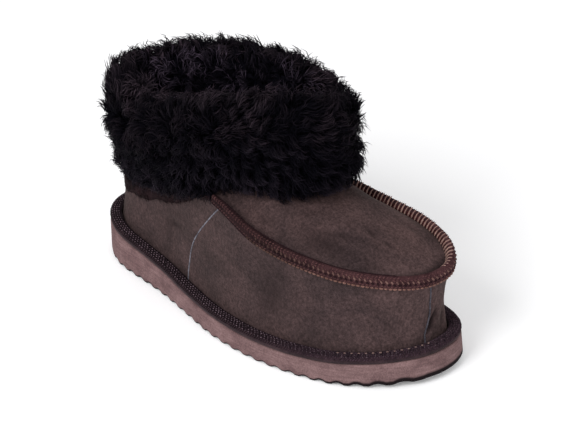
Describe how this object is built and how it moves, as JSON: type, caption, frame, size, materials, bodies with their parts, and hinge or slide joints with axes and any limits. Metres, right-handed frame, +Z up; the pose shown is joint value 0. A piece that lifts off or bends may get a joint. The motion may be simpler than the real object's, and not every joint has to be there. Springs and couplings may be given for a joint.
{
  "type": "slipper",
  "caption": "Brown suede sheepskin slipper for the right foot with a dark turned-down fleece cuff, raised apron seam, bound welt and rippled wedge sole.",
  "frame": {"origin": "on the floor, on a land of the tread under the middle of the foot", "axes": "+X to the toe, +Y to the inner side of the right foot, +Z up"},
  "size_m": [0.2891, 0.1156, 0.1772],
  "materials": {
    "foam": "matte microporous foam",
    "suede": "napped suede",
    "binding": "braid and folded suede",
    "seam": "folded suede with whip stitches",
    "fleece": "curly sheepskin wool",
    "footbed": "short wool pile"
  },
  "bodies": {
    "root": {"outsole": "foam", "insole": "footbed", "upper": "suede", "welt_binding": "binding", "apron_seam": "seam", "cuff": "fleece"}
  },
  "joints": []
}
